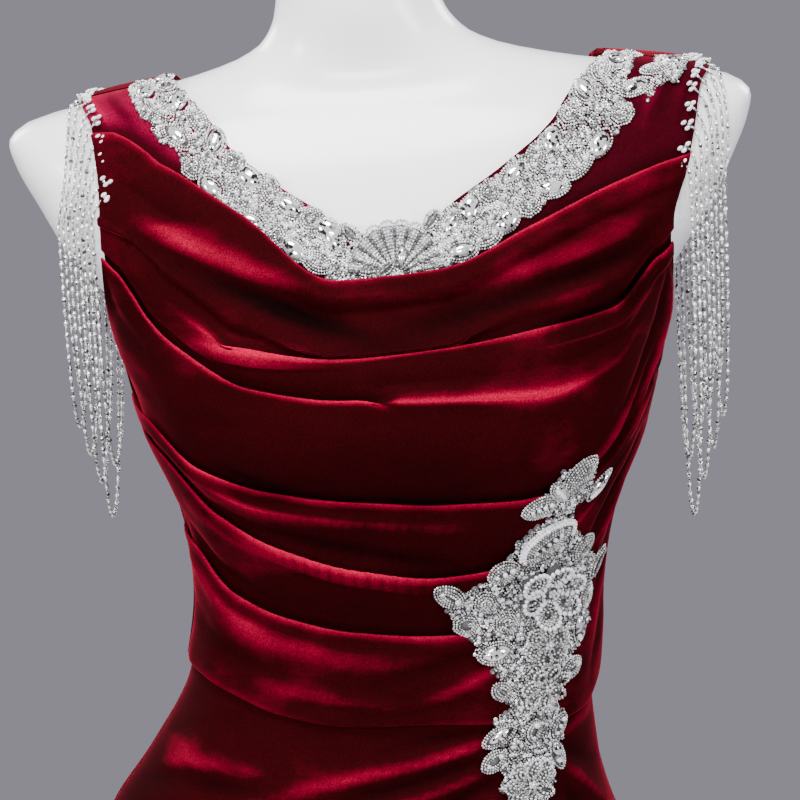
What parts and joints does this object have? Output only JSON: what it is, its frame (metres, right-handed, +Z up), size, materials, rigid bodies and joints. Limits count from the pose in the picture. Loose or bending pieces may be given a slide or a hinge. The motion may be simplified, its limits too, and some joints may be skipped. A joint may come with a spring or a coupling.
{
  "type": "velvet evening dress on a dress form",
  "caption": "Sleeveless full-length velvet evening dress with a cowl-draped, pleated bodice, crystal neckline, hip flower and armhole chains, worn on a limbless dress form with a floor stand.",
  "frame": {"origin": "centre of the underside of the round stand base", "axes": "+Z up, the dress's front faces -Y, +X is the wearer's left"},
  "size_m": [0.6991, 0.6312, 1.5206],
  "materials": {
    "velvet": "burgundy velvet pile",
    "yoke_velvet": "burgundy velvet pile, lit nap",
    "jewels": "cut crystal, pearl and silver-lined beads on a sewn ground",
    "chain": "cut crystals in silver cups",
    "form": "gloss white",
    "steel": "satin steel",
    "zip": "woven tape and nylon coil"
  },
  "bodies": {
    "dress": {"bodice_front": "velvet", "neck_yoke": "yoke_velvet", "bodice_back_left": "velvet", "bodice_back_right": "velvet", "skirt_front": "velvet", "skirt_back_left": "velvet", "skirt_back_right": "velvet", "zip_strip": "zip", "zip_slider": "steel", "neck_applique_left": "jewels", "neck_applique_right": "jewels", "neck_applique_centre": "jewels", "hip_applique_flower": "jewels", "hip_applique_spray": "jewels", "hip_applique_trail": "jewels", "fringe_left": "chain", "fringe_right": "chain", "form_torso": "form", "stand_pole": "steel", "stand_base": "steel"},
    "zip_pull": {"zip_pull": "steel"}
  },
  "joints": [
    {"name": "pull_swing", "type": "hinge", "parent": "dress", "child": "zip_pull", "pos_m": [0.00046, 0.105, 1.36749], "axis": [1, 0, 0], "range_deg": [0, 165]}
  ]
}
